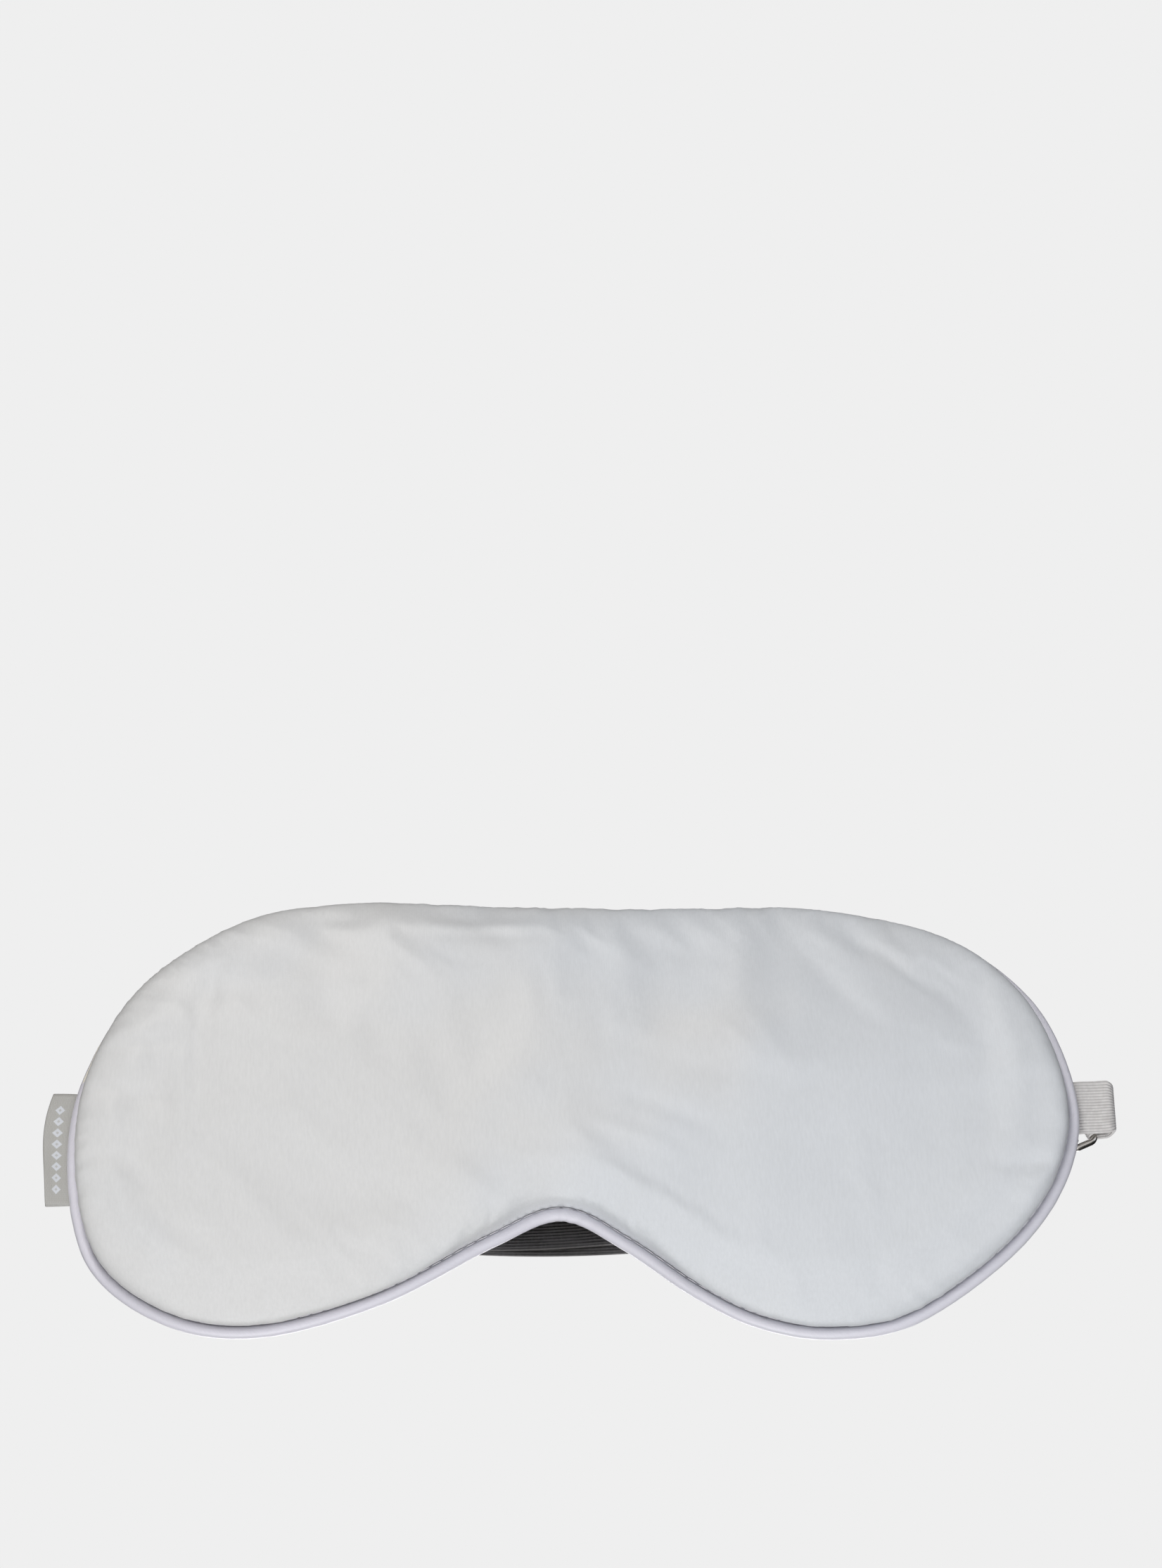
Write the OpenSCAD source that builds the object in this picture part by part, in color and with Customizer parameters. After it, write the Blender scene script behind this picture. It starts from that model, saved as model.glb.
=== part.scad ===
// Padded satin sleep mask lying face up on a table, with its adjustable elastic strap drawn up short and
// tucked underneath. X runs across the eyes, +Y points to the forehead, +Z leaves the front of the mask.
// The origin is on the table, under the middle of the whole part. Millimetres.

/* [Mask] */
// Width of the mask over its piping
mask_w = 208.2; // [204:0.2:212]
// Height of the mask over its piping, forehead to cheek
mask_h = 100.6; // [98:0.2:103]
// Height of the seam above the table at the middle of the mask
seam_h = 9.45; // [9.45:0.05:11]
// Rise of the padded front above the seam
front_rise = 5.9; // [4:0.1:7]
// Swell of the lining below the seam
back_rise = 1; // [0.5:0.1:1.2]
// Thickness of the satin panels
satin_t = 0.5; // [0.3:0.1:0.6]
// Thickness of the light-blocking interlining
blackout_t = 0.4; // [0.2:0.1:0.4]

/* [Piping] */
// Diameter of the finished piping
piping_d = 2.5; // [2.3:0.1:2.5]
// Diameter of the cotton cord inside it
cord_d = 1.6; // [1.2:0.1:1.6]
// Width of the seam allowance inside the piping
allowance_w = 3; // [2:0.5:3]

/* [Elastic] */
// Width of the ribbed elastic
elastic_w = 12; // [10:0.5:12]
// Thickness of the ribbed elastic
elastic_t = 0.8; // [0.8:0.1:0.8]
// Reach of the folded tab past the seam hinge on the right
tab_reach = 8.5; // [8.5:0.1:9]

/* [Hardware] */
// Diameter of the wire that the ring and the slider are bent from
wire_d = 1.4; // [1.2:0.1:1.4]
// Distance between the two bars of the ring
ring_pitch = 5.5; // [5.5:0.1:6]
// Length of the slider along the strap, bar centre to bar centre
slider_len = 10; // [10:0.5:12]

/* [Label] */
// Length of the folded label along the seam
label_len = 24.6; // [20:0.1:25]
// Reach of the label past its fold line
label_reach = 5.5; // [4:0.1:6]
// Thickness of the woven label tape
label_t = 0.35; // [0.3:0.05:0.35]

/* [Hidden] */
$fn = 32;

gap = 0.05;                 // hairline between layers that lie on each other
piping_r = piping_d / 2;
piping_cloth_t = 0.4;
seam_inset = piping_r + 0.2; // from the piping's centre line to the cut edge of the panels
turns = 3;                   // outline points worked out between two chosen ones

// Centre line of the piping, anticlockwise from the top of the nose notch
OUTLINE = [[-4, -25.3], [9, -31.4], [23, -40.7], [36, -46.8], [51, -48.9], [68, -45.4], [88, -31], [99, -15],
           [101.3, 2], [94, 24], [77, 40], [48, 47], [14, 47], [-16, 48], [-44, 49], [-70, 44.8], [-92, 28],
           [-103, 5.5], [-104.4, -16], [-98.6, -35], [-83, -46], [-64, -48.3], [-40, -42], [-18, -30.8]];
// The panels' rings shrink towards this point, which sees the whole outline
HUB = [-2, 8];

function axis_values(k) = [for (p = OUTLINE) p[k]];
function span_of(k) = max(axis_values(k)) - min(axis_values(k));
scale_x = (mask_w - piping_d) / span_of(0);
scale_y = (mask_h - piping_d) / span_of(1);
function chosen(i) = let (n = len(OUTLINE), p = OUTLINE[(i + n) % n]) [p[0] * scale_x, p[1] * scale_y];
function spline(a, b, c, d, t) =
    (2 * b + (c - a) * t + (2 * a - 5 * b + 4 * c - d) * t * t + (3 * b - a - 3 * c + d) * t * t * t) / 2;
CENTRE_LINE = [for (i = [0:len(OUTLINE) - 1], j = [0:turns - 1])
               spline(chosen(i - 1), chosen(i), chosen(i + 1), chosen(i + 2), j / turns)];
COUNT = len(CENTRE_LINE);
function outward(i) =
    let (d = CENTRE_LINE[(i + 1) % COUNT] - CENTRE_LINE[(i + COUNT - 1) % COUNT]) [d[1], -d[0]] / norm(d);
SEAM_LINE = [for (i = [0:COUNT - 1]) CENTRE_LINE[i] - outward(i) * seam_inset];

// The mask arches over the tucked strap: height of its seam surface above the table
fall_y = 0.0029;
fall_x = 0.00025;
function seam_z(p) = seam_h - fall_y * p[1] * p[1] - fall_x * p[0] * p[0];
function crown(t) = sqrt(max(0, 1 - pow(t, 6)));

// A padded layer between two crowned surfaces; rings are shares of the way out from the hub
module layer(rings, low, low_rise, high, high_rise) {
    n = COUNT;
    m = len(rings);
    function ring_point(t, i, base, rise) =
        let (p = HUB + (SEAM_LINE[i] - HUB) * t) [p[0], p[1], seam_z(p) + base + rise * crown(t)];
    function sheet_points(base, rise) =
        concat([for (t = rings, i = [0:n - 1]) ring_point(t, i, base, rise)],
               [[HUB[0], HUB[1], seam_z(HUB) + base + rise]]);
    function quad(a, b, c, d, flip) = flip ? [[a, b, c], [a, c, d]] : [[c, b, a], [d, c, a]];
    function sheet_faces(start, flip) =
        concat([for (k = [0:m - 2], i = [0:n - 1], f = quad(start + k * n + i, start + k * n + (i + 1) % n,
                start + (k + 1) * n + (i + 1) % n, start + (k + 1) * n + i, flip)) f],
               [for (i = [0:n - 1]) let (a = start + (m - 1) * n + i, b = start + (m - 1) * n + (i + 1) % n,
                c = start + m * n) flip ? [a, b, c] : [c, b, a]]);
    below = m * n + 1;
    rim = [for (i = [0:n - 1], f = quad(i, (i + 1) % n, below + (i + 1) % n, below + i, true)) f];
    polyhedron(concat(sheet_points(high, high_rise), sheet_points(low, low_rise)),
               concat(sheet_faces(0, false), sheet_faces(below, true), rim));
}

// A closed tube with the given [out, up] section, swept along the piping's centre line
module swept(section) {
    k = len(section);
    points = [for (i = [0:COUNT - 1], s = section) let (q = CENTRE_LINE[i] + outward(i) * s[0])
              [q[0], q[1], seam_z(q) + s[1]]];
    faces = [for (i = [0:COUNT - 1], j = [0:k - 1])
             let (a = i * k + j, b = i * k + (j + 1) % k, c = ((i + 1) % COUNT) * k + (j + 1) % k,
                  d = ((i + 1) % COUNT) * k + j) each [[a, b, c], [a, c, d]]];
    polyhedron(points, faces);
}

function arc(centre, r, from, to, steps) =
    [for (i = [0:steps]) let (a = from + (to - from) * i / steps) centre + r * [cos(a), sin(a)]];

// Panel rings: close together at the edge, where the padding turns down to the seam
FRONT_RINGS = [1, 0.985, 0.96, 0.92, 0.86, 0.76, 0.58, 0.3];
LINING_RINGS = [1, 0.96, 0.9, 0.8, 0.6, 0.3];
PAD_RINGS = [0.87, 0.82, 0.74, 0.56, 0.3];
half_cloth = 0.5; // the allowance keeps the front and the lining this far from the seam surface

module front_panel() {
    color("gainsboro")
    layer(FRONT_RINGS, half_cloth, front_rise, half_cloth + satin_t, front_rise);
}

module wadding() {
    color("white")
    layer(PAD_RINGS, blackout_t + 0.1 - half_cloth + 0.1, -back_rise, half_cloth - 0.1, front_rise);
}

module blackout_layer() {
    color("black")
    layer(PAD_RINGS, 0.1 - half_cloth, -back_rise, blackout_t + 0.1 - half_cloth, -back_rise);
}

module back_lining() {
    color("dimgray")
    layer(LINING_RINGS, -half_cloth - satin_t, -back_rise, -half_cloth, -back_rise);
}

// Bias strip folded round the cord: both of its edges run inwards as the seam allowance
module piping_cover() {
    inner = piping_r - piping_cloth_t;
    outer_a = 180 - asin(piping_cloth_t / piping_r);
    inner_a = 180 - asin(gap / inner);
    tail = seam_inset + allowance_w - gap;
    color("lavender")
    swept(concat([[-tail, gap], [-tail, piping_cloth_t]],
                 arc([0, 0], piping_r, outer_a, -outer_a, 10),
                 [[-tail, -piping_cloth_t], [-tail, -gap]],
                 arc([0, 0], inner, -inner_a, inner_a, 10)));
}

module piping_cord() {
    color("ivory")
    swept(arc([0, 0], cord_d / 2, 360, 45, 7));
}

// A strip of flat material whose edge follows a path of [along, up] points
function strip_normal(path, i) =
    let (d = path[min(i + 1, len(path) - 1)] - path[max(i - 1, 0)]) [-d[1], d[0]] / norm(d);
module strip(path, thick, width) {
    last = len(path) - 1;
    rotate([90, 0, 0])
    translate([0, 0, -width / 2])
    linear_extrude(width)
    polygon(concat([for (i = [0:last]) path[i] + strip_normal(path, i) * thick / 2],
                   [for (i = [last:-1:0]) path[i] - strip_normal(path, i) * thick / 2]));
}

// The strap lies on the table in a shallow bow, then runs straight to the left
BOW = [-8.5, 229.6];
bow_r = 255;
slider_a = -8.2;
ring_a = 25;
// Puts its children on the bow, with their X along the strap
module on_bow(a) {
    translate([BOW[0] + bow_r * sin(a), BOW[1] - bow_r * cos(a), 0])
    rotate([0, 0, a])
    children();
}
// Flat elastic along the bow, with an optional straight stretch before its start that ends square to X
module bow_strip(from, to, z, straight = 0) {
    steps = 48;
    skew = elastic_w / 2 * tan(from);
    ahead = [cos(from), sin(from)];
    near = arc(BOW, bow_r + elastic_w / 2, from - 90, to - 90, steps);
    far = arc(BOW, bow_r - elastic_w / 2, to - 90, from - 90, steps);
    translate([0, 0, z])
    linear_extrude(elastic_t)
    polygon(concat(straight > 0 ? [near[0] - (straight + skew) * ahead] : [], near, far,
                   straight > 0 ? [far[steps] - (straight - skew) * ahead] : []));
}
function bow_degrees(length) = length / bow_r * 180 / PI;

wire_r = wire_d / 2;
loop_r = wire_r + gap + elastic_t / 2;    // middle of an elastic loop that hugs a bar
bar_z = elastic_t + gap + wire_r;         // ring bars lie on one thickness of elastic
half_t = elastic_t / 2;

// Hinge points of the strap's two short ends, as [x, z]; both ends reach the same way and the same distance
SEAM_RIGHT = [101, 4.4];
SEAM_LEFT = [-103.8, 3.1];
REACH = [tab_reach, -2.8];
FOLD_RIGHT = SEAM_RIGHT + REACH;
END_LEFT = SEAM_LEFT + REACH;
fold_r = 1.6;
fold_z = fold_r + half_t;
left_y = -15.6;

// The left end turns back under itself, so its sewn part lies on top of the lead
module strap_sewn_end() {
    fold_back = 0.7;
    color("lightgray")
    translate([0, left_y, fold_back])
    strip([SEAM_LEFT + [1.9, 0], SEAM_LEFT + [0.4, 0]], elastic_t, elastic_w);
}

module strap_lead() {
    color("lightgray")
    translate([0, left_y, 0])
    strip([SEAM_LEFT + [0.5, -0.15], END_LEFT + [-0.5, 0.25]], elastic_t, elastic_w);
}

module strap_run() {
    color("silver")
    bow_strip(slider_a, ring_a - bow_degrees(1.1), 0, 50.5);
}

loop_drop = 9;              // along the strap, where the loop's upper side comes down to the run
return_z = elastic_t + gap; // underside of the strap's doubled end
slack_r = 1.55;             // the strap's loop leaves the ring room to swivel

module strap_ring_loop() {
    color("silver")
    on_bow(ring_a)
    strip(concat([[-1, half_t]], arc([0, slack_r + half_t], slack_r, -90, 90, 12),
                 [[-2, slack_r * 2 + 0.3], [-5, return_z + half_t + 0.7],
                  [-loop_drop, return_z + half_t]]), elastic_t, elastic_w);
}

module strap_return() {
    color("lightgray")
    bow_strip(slider_a + bow_degrees(4), ring_a - bow_degrees(loop_drop + 0.5), return_z);
}

slider_z = return_z + elastic_t + gap + wire_r;

module strap_end_loop() {
    color("lightgray")
    on_bow(slider_a)
    strip(concat([[3.8, return_z + half_t]], arc([0, slider_z], loop_r, 270, 90, 12),
                 [[0.9, slider_z + loop_r - 0.25], [2.3, slider_z - 0.15], [2.8, slider_z - 0.3],
                  [3.8, slider_z - 0.3]]), elastic_t, elastic_w);
}

module tab_sewn_end() {
    under_lining = 0.5;
    color("lightgray")
    translate([0, 0, under_lining])
    strip([SEAM_RIGHT + [-3.8, 0], SEAM_RIGHT + [-0.5, 0]], elastic_t, elastic_w);
}

module tab_top() {
    color("lightgray")
    strip([SEAM_RIGHT + [0.4, -0.03], [FOLD_RIGHT[0] - 0.1, 2 * fold_r + half_t]], elastic_t, elastic_w);
}

module tab_fold() {
    color("lightgray")
    strip(arc([FOLD_RIGHT[0], fold_z], fold_r, -90, 90, 14), elastic_t, elastic_w);
}

// The tab's end goes round the ring's outer bar and is sewn down on itself
module tab_ring_loop() {
    half_w = elastic_w / 2;
    bar = BOW + bow_r * [sin(ring_a), -cos(ring_a)] + ring_pitch * [cos(ring_a), sin(ring_a)];
    along_bar = half_w * [-sin(ring_a), cos(ring_a)];
    fold_x = FOLD_RIGHT[0] - 0.15;
    color("lightgray") {
        linear_extrude(elastic_t)
        polygon([[fold_x, -half_w], [fold_x, half_w], bar + along_bar, bar - along_bar]);
        on_bow(ring_a)
        translate([ring_pitch, 0, 0])
        strip(concat(arc([0, bar_z], loop_r, 270, 90, 12),
                     [[0.7, bar_z + loop_r - 0.2], [1.8, bar_z - 0.05], [2.4, return_z + half_t],
                      [3.6, return_z + half_t]]), elastic_t, elastic_w);
    }
}

// Wire bent into a rounded rectangle that lies flat, middle at the origin
module wire_frame(length, width, corner) {
    for (s = [-1, 1]) {
        translate([s * length / 2, 0, 0])
        rotate([90, 0, 0])
        cylinder(r = wire_r, h = width - 2 * corner, center = true);
        translate([0, s * width / 2, 0])
        rotate([0, 90, 0])
        cylinder(r = wire_r, h = length - 2 * corner, center = true);
        for (t = [-1, 1])
        translate([s * (length / 2 - corner), t * (width / 2 - corner), 0])
        rotate([0, 0, s > 0 ? (t > 0 ? 0 : -90) : (t > 0 ? 90 : 180)])
        rotate_extrude(angle = 90)
        translate([corner, 0])
        circle(r = wire_r);
    }
}
frame_w = elastic_w + 2 * wire_r + 0.6;
corner_r = 1.4;

module ring() {
    color("silver")
    on_bow(ring_a)
    translate([ring_pitch / 2, 0, bar_z])
    wire_frame(ring_pitch, frame_w, corner_r);
}

module slider() {
    color("silver")
    on_bow(slider_a)
    translate([0, 0, slider_z]) {
        wire_frame(slider_len, frame_w, corner_r);
        rotate([90, 0, 0])
        cylinder(r = wire_r, h = frame_w, center = true);
    }
}

tack_t = 0.25;
module bartack() {
    translate([-0.4, -elastic_w * 0.4, gap])
    cube([0.8, elastic_w * 0.8, tack_t]);
}

module ring_bartack() {
    color("whitesmoke")
    on_bow(ring_a)
    translate([ring_pitch + 3, 0, return_z + elastic_t])
    bartack();
}

module slider_bartack() {
    color("whitesmoke")
    on_bow(slider_a)
    translate([3.35, 0, slider_z - 0.3 + half_t])
    bartack();
}

LABEL_FOLD = [-106, -9.2, 4.4]; // middle of the line that the label bends along
label_tilt = 3.2;             // the label follows the falling seam
module at_label() {
    translate(LABEL_FOLD)
    rotate([label_tilt, 0, 0])
    children();
}

module label_sewn_edge() {
    color("darkgray")
    at_label()
    strip([[1.6, 0], [0.3, 0]], 2 * label_t, label_len);
}

module side_label() {
    half_gap = 0.3;
    color("darkgray")
    at_label()
    strip(concat([[-0.2, half_gap]], arc([half_gap + label_t / 2 - label_reach, 0], half_gap, 90, 270, 8),
                 [[-0.2, -half_gap]]), label_t, label_len);
}

front_panel();
wadding();
blackout_layer();
back_lining();
piping_cover();
piping_cord();
side_label();
label_sewn_edge();
strap_sewn_end();
strap_lead();
strap_run();
strap_ring_loop();
strap_return();
strap_end_loop();
tab_sewn_end();
tab_top();
tab_fold();
tab_ring_loop();
ring();
slider();
ring_bartack();
slider_bartack();
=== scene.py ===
# %% [markdown]
# # A padded satin sleep mask
# The mask lies face up on a pale table, with its elastic strap folded underneath. The CAD model gives every piece
# its place and its size. This file gives the pieces their cloth, thread and wire. All lengths are in metres, and
# `MM` turns millimetres into metres wherever a size is easier to read that way.

# %% Load the frame
import math

import bpy
import numpy as np
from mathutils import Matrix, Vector, geometry, noise


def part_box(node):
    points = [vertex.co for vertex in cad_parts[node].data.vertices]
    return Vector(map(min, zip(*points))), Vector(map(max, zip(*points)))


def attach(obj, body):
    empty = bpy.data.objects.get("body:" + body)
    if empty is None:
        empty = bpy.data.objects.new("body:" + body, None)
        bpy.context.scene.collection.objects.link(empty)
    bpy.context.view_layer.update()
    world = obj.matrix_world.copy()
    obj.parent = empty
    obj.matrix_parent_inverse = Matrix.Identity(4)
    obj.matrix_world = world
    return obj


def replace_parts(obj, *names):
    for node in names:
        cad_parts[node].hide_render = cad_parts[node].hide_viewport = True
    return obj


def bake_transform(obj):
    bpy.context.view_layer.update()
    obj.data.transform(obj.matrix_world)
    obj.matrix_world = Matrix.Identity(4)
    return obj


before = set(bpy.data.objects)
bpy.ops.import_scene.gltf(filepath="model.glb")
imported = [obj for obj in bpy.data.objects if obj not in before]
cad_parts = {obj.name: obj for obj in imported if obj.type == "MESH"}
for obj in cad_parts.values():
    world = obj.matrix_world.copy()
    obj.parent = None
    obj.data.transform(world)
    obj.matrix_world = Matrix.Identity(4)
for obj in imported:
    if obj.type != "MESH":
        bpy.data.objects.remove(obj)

MM = 0.001
scene = bpy.context.scene
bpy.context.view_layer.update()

# %% [markdown]
# ## Camera
# The mask is seen from the cheek side, high up, and sits low in the frame. The camera first looks straight at the
# middle of the mask and is then tipped up a little. Tipping keeps the perspective honest, and no lens shift is
# needed.

# %% Camera
VIEW_HEIGHT = math.radians(64)      # angle above the table
TIP_UP = math.radians(5.02)
LOOK_AT = Vector((0, -2.9, 5)) * MM
DISTANCE = 0.8
camera_data = bpy.data.cameras.new("camera")
camera_data.lens = 88.1
camera_data.sensor_width = 36
camera = bpy.data.objects.new("camera", camera_data)
scene.collection.objects.link(camera)
camera.location = LOOK_AT + DISTANCE * Vector((0, -math.cos(VIEW_HEIGHT), math.sin(VIEW_HEIGHT)))
camera.rotation_euler = (math.radians(90) - VIEW_HEIGHT + TIP_UP, 0, 0)
scene.camera = camera
print("camera height above the table, mm:", round(camera.location.z / MM))

# %% [markdown]
# ## Colours and nodes
# Colours are read off swatches as sRGB hex values, but shaders mix light in linear values, so one function
# converts them. Another one adds a shader node. Every material below is built from those two.

# %% Colour and node helpers
def linear(hex_colour):
    """An sRGB hex value, such as '#d4d4d4', as linear red, green, blue and alpha."""
    channels = [int(hex_colour[i:i + 2], 16) / 255 for i in (1, 3, 5)]
    return [c / 12.92 if c <= 0.04045 else ((c + 0.055) / 1.055) ** 2.4 for c in channels] + [1]


def add_node(tree, kind, inputs=None, **settings):
    """Adds a shader node with its settings. An input takes a value, a socket, or a node for its first output."""
    node = tree.nodes.new("ShaderNode" + kind)
    for name, value in settings.items():
        setattr(node, name, value)
    for name, value in (inputs or {}).items():
        if isinstance(value, (bpy.types.NodeSocket, bpy.types.Node)):
            socket = value.outputs[0] if isinstance(value, bpy.types.Node) else value
            tree.links.new(socket, node.inputs[name])
        else:
            node.inputs[name].default_value = value
    return node


def new_material(name, **shader_values):
    """A material with one Principled shader. Its plain numbers go straight onto the shader's sockets."""
    material = bpy.data.materials.new(name)
    material.use_nodes = True
    shader = material.node_tree.nodes["Principled BSDF"]
    for socket, value in shader_values.items():
        shader.inputs[socket.replace("_", " ")].default_value = value
    print("material:", name)
    return material, material.node_tree, shader


# %% [markdown]
# ## Table and light
# A plain pale sweep, evenly lit, is what a studio uses under small cloth goods. The table glows faintly towards
# the camera, so that it has one even tone right out to the edge of the frame, and it lets other rays through.
# Without that the space under the arched mask would fill with bounced light, and it should be the darkest place
# of all.

# %% Table
TABLE_TONE = "#efefef"
TABLE_REACH = 4.0
BELOW_CLOTH = 0.3 * MM              # keeps the table from flickering through the strap
table_mesh = bpy.data.meshes.new("table")
corners = [(x * TABLE_REACH, y * TABLE_REACH, -BELOW_CLOTH) for x, y in ((-1, -1), (1, -1), (1, 1), (-1, 1))]
table_mesh.from_pydata(corners, [], [(0, 1, 2, 3)])
table = bpy.data.objects.new("table", table_mesh)
scene.collection.objects.link(table)

table_paper = bpy.data.materials.new("matt_paper_sweep")
table_paper.use_nodes = True
tree = table_paper.node_tree
tree.nodes.clear()
ray = add_node(tree, "LightPath")
side = add_node(tree, "NewGeometry")
front = add_node(tree, "Math", {0: 1.0, 1: side.outputs["Backfacing"]}, operation="SUBTRACT")
seen = add_node(tree, "Math", {0: ray.outputs["Is Camera Ray"], 1: front}, operation="MULTIPLY")
clear = add_node(tree, "BsdfTransparent")
glow = add_node(tree, "Emission", {"Color": linear(TABLE_TONE), "Strength": 1.0})
mixed = add_node(tree, "MixShader", {0: seen, 1: clear, 2: glow})
add_node(tree, "OutputMaterial", {"Surface": mixed})
table_mesh.materials.append(table_paper)

# %% Room light and lamps
world = bpy.data.worlds.new("white_room")
scene.world = world
world.use_nodes = True
tree = world.node_tree
tree.nodes.clear()
ray = add_node(tree, "LightPath")
room = add_node(tree, "Background", {"Color": (1, 1, 1, 1), "Strength": 0.012})
backdrop = add_node(tree, "Background", {"Color": linear(TABLE_TONE), "Strength": 1.0})
mixed = add_node(tree, "MixShader", {0: ray.outputs["Is Camera Ray"], 1: room, 2: backdrop})
add_node(tree, "OutputWorld", {"Surface": mixed})


def softbox(name, azimuth, height, distance, size, watts, tint="#ffffff"):
    """A square area lamp aimed at the mask. Azimuth 0 is the forehead side and 90 is the right."""
    lamp = bpy.data.lights.new(name, "AREA")
    lamp.size = size
    lamp.energy = watts
    lamp.color = linear(tint)[:3]
    holder = bpy.data.objects.new(name, lamp)
    scene.collection.objects.link(holder)
    a, h = math.radians(azimuth), math.radians(height)
    toward = Vector((math.sin(a) * math.cos(h), math.cos(a) * math.cos(h), math.sin(h)))
    holder.location = toward * distance
    holder.rotation_mode = "QUATERNION"
    holder.rotation_quaternion = toward.to_track_quat("Z", "Y")
    print(name, watts, "W from", distance, "m")
    return holder


lamps = [softbox("back_softbox", azimuth=-20, height=42, distance=1.4, size=0.35, watts=9.3, tint="#fffdfa"),
    softbox("overhead_scrim", azimuth=180, height=80, distance=1.5, size=2.0, watts=10),
    softbox("right_softbox", azimuth=80, height=35, distance=1.6, size=0.8, watts=4, tint="#f2f6ff"),
    softbox("front_scrim", azimuth=188, height=32, distance=1.6, size=1.2, watts=12.5),
    softbox("low_front_scrim", azimuth=186, height=12, distance=1.6, size=0.8, watts=9)]
strap_lamp = softbox("strap_edge_light", azimuth=182, height=5, distance=1.2, size=0.2, watts=2.0)
softbox("light_from_below", azimuth=180, height=-80, distance=1.2, size=0.8, watts=10)

# %% [markdown]
# The big soft lamps would also reach the strap through the nose notch. A studio hangs a black flag there. Here
# the lamps simply leave those pieces out, through a list that they share. A weak low lamp of its own grazes the
# strap, so only the edges of its two layers show in the dark.

# %% Flag for the strap
flagged = bpy.data.collections.new("flagged_from_the_fills")
for lamp in lamps:
    lamp.light_linking.receiver_collection = flagged
in_the_shade = bpy.data.collections.new("lit_by_the_strap_light")
strap_lamp.light_linking.receiver_collection = in_the_shade


def keep_in_shade(piece):
    """The soft lamps leave this piece out, and the strap's own lamp takes it in."""
    in_the_shade.objects.link(piece)
    flagged.objects.link(piece)
    flagged.collection_objects[-1].light_linking.link_state = "EXCLUDE"


scene.view_settings.view_transform = "Standard"
scene.view_settings.look = "None"

# %% [markdown]
# ## The seam line
# Everything on this mask hangs on one closed curve: the middle of the piping. It runs through the same chosen
# points as the CAD outline, on a smooth spline, and is then cut into equal steps so that stitches, weave and
# wrinkles keep their size all the way round. The mask arches over its tucked strap, so the seam rises towards the
# middle.

# %% The seam line
OUTLINE = np.array([[-4, -25.3], [9, -31.4], [23, -40.7], [36, -46.8], [51, -48.9], [68, -45.4], [88, -31],
    [99, -15], [101.3, 2], [94, 24], [77, 40], [48, 47], [14, 47], [-16, 48], [-44, 49],
    [-70, 44.8], [-92, 28], [-103, 5.5], [-104.4, -16], [-98.6, -35], [-83, -46], [-64, -48.3],
    [-40, -42], [-18, -30.8]]) * MM
CORD_D = 1.6 * MM
cord_low, cord_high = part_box("piping_cord")
OUTLINE[:, 0] *= (cord_high.x - cord_low.x - CORD_D) / np.ptp(OUTLINE[:, 0])
OUTLINE[:, 1] *= (cord_high.y - cord_low.y - CORD_D) / np.ptp(OUTLINE[:, 1])


def catmull_rom(a, b, c, d, t):
    """The smooth stretch from b to c, with a and d as the points on either side."""
    return (2 * b + (c - a) * t + (2 * a - 5 * b + 4 * c - d) * t**2 + (3 * b - a - 3 * c + d) * t**3) / 2


def spline(points, steps):
    """A closed curve through the points."""
    a, b, c, d = (np.roll(points, shift, axis=0)[:, None, :] for shift in (1, 0, -1, -2))
    t = (np.arange(steps) / steps)[None, :, None]
    return catmull_rom(a, b, c, d, t).reshape(-1, points.shape[1])


def closed_lengths(points):
    """Distance along a closed curve at each point, and the whole length."""
    steps = np.linalg.norm(np.roll(points, -1, axis=0) - points, axis=1)
    return np.concatenate([[0], np.cumsum(steps)[:-1]]), steps.sum()


def even_steps(points, count):
    """The same closed curve, cut into equal steps."""
    along, whole = closed_lengths(points)
    wanted = np.arange(count) * whole / count
    looped = np.vstack([points, points[:1]])
    return np.column_stack([np.interp(wanted, np.append(along, whole), looped[:, k]) for k in (0, 1)])


def outward(points):
    """Unit vectors that point away from the mask, one at each point of a closed curve."""
    ahead = np.roll(points, -1, axis=0) - np.roll(points, 1, axis=0)
    ahead /= np.linalg.norm(ahead, axis=1)[:, None]
    return np.column_stack([ahead[:, 1], -ahead[:, 0]])


SEAM_TOP = 9.45 * MM
ARCH_Y, ARCH_X = 0.0029 / MM, 0.00025 / MM


def seam_z(x, y):
    """Height of the arched seam surface."""
    return SEAM_TOP - ARCH_Y * y**2 - ARCH_X * x**2


RIM_POINTS = 320
SEAM_INSET = 1.45 * MM
piping_line = even_steps(spline(OUTLINE, 16), RIM_POINTS)
seam_line = piping_line - outward(piping_line) * SEAM_INSET
seam_length = closed_lengths(piping_line)[1]
print("length of the piping, mm:", round(seam_length / MM))

# %% [markdown]
# ## Satin, elastic, wire and thread
# Polyester satin is woven so that most of the yarn floats on the face. The floats all lie one way, which gives a
# soft sheen across them and almost no visible grid. Real floats are about 0.1 mm wide, too fine for any picture
# of the whole mask, so the slubs and the float pattern are drawn 0.5 mm wide, as coarse as they need to be to
# show at all. The lining is the same cloth dyed charcoal, so little light bounces about behind it. The piping is
# cut on the bias, with its floats at 45 degrees, and it is pulled tight over the cord, so it shines a little
# more.

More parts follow.
